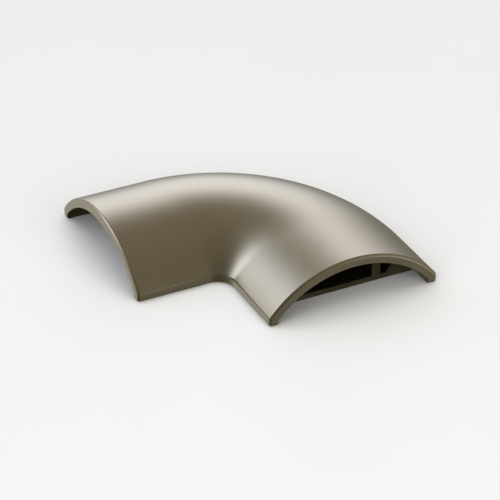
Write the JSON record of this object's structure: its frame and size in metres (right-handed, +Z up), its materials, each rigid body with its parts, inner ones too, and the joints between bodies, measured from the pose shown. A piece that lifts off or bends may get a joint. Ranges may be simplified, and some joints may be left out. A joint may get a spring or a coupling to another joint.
{
  "type": "cable cover corner",
  "caption": "Flat right-angle corner for an over-floor cable cover: a thick arched shell with rounded end rims over a recessed tray with flanks, a divider and foam pads.",
  "frame": {"origin": "middle of the footprint's square, at floor level", "axes": "+Z up from the floor; one arm opens towards -X and the other towards -Y, and the bend's outer side faces +X +Y"},
  "size_m": [0.1282, 0.1282, 0.0243],
  "materials": {
    "cover_metal": "satin",
    "tray_metal": "matte",
    "foam": "matte"
  },
  "bodies": {
    "base": {"base": "tray_metal", "pad_right": "foam", "pad_corner": "foam", "pad_left": "foam"},
    "cover": {"cover": "cover_metal"}
  },
  "joints": [
    {"name": "cover_lift", "type": "slide", "parent": "base", "child": "cover", "axis": [0, 0, 1], "range_m": [0, 0.05]}
  ]
}
